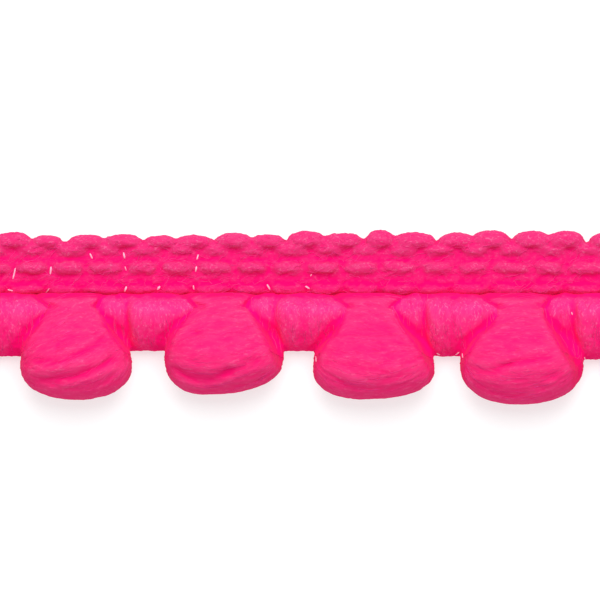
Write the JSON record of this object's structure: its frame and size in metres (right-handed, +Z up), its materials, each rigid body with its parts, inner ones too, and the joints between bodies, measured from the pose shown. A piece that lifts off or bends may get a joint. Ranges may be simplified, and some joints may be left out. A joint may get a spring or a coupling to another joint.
{
  "type": "pompom fringe trim",
  "caption": "Flat cut length of crocheted yarn trim with a scalloped heading, soft weft bars and a row of puffed pompoms, for edging cloth.",
  "frame": {"origin": "middle of the trim's bounding box, on the surface that the trim lies on", "axes": "+X along the trim, +Y across it from the pompoms to the scalloped edge, +Z up from the surface, out of the trim's face"},
  "size_m": [0.0532, 0.0104, 0.0048],
  "materials": {
    "heading_yarn": "matt bulked yarn, crocheted",
    "bar_yarn": "matt bulked yarn, fine crosswise grain",
    "pompom_yarn": "soft matt microfibre yarn, fine lengthwise grain"
  },
  "bodies": {
    "root": {"heading": "heading_yarn", "weft_bar_1": "bar_yarn", "weft_bar_2": "bar_yarn", "weft_bar_3": "bar_yarn", "weft_bar_4": "bar_yarn", "weft_bar_5": "bar_yarn", "weft_bar_6": "bar_yarn", "weft_bar_7": "bar_yarn", "pompom_1": "pompom_yarn", "pompom_2": "pompom_yarn", "pompom_3": "pompom_yarn", "pompom_4": "pompom_yarn", "pompom_5": "pompom_yarn", "pompom_6": "pompom_yarn"}
  },
  "joints": []
}
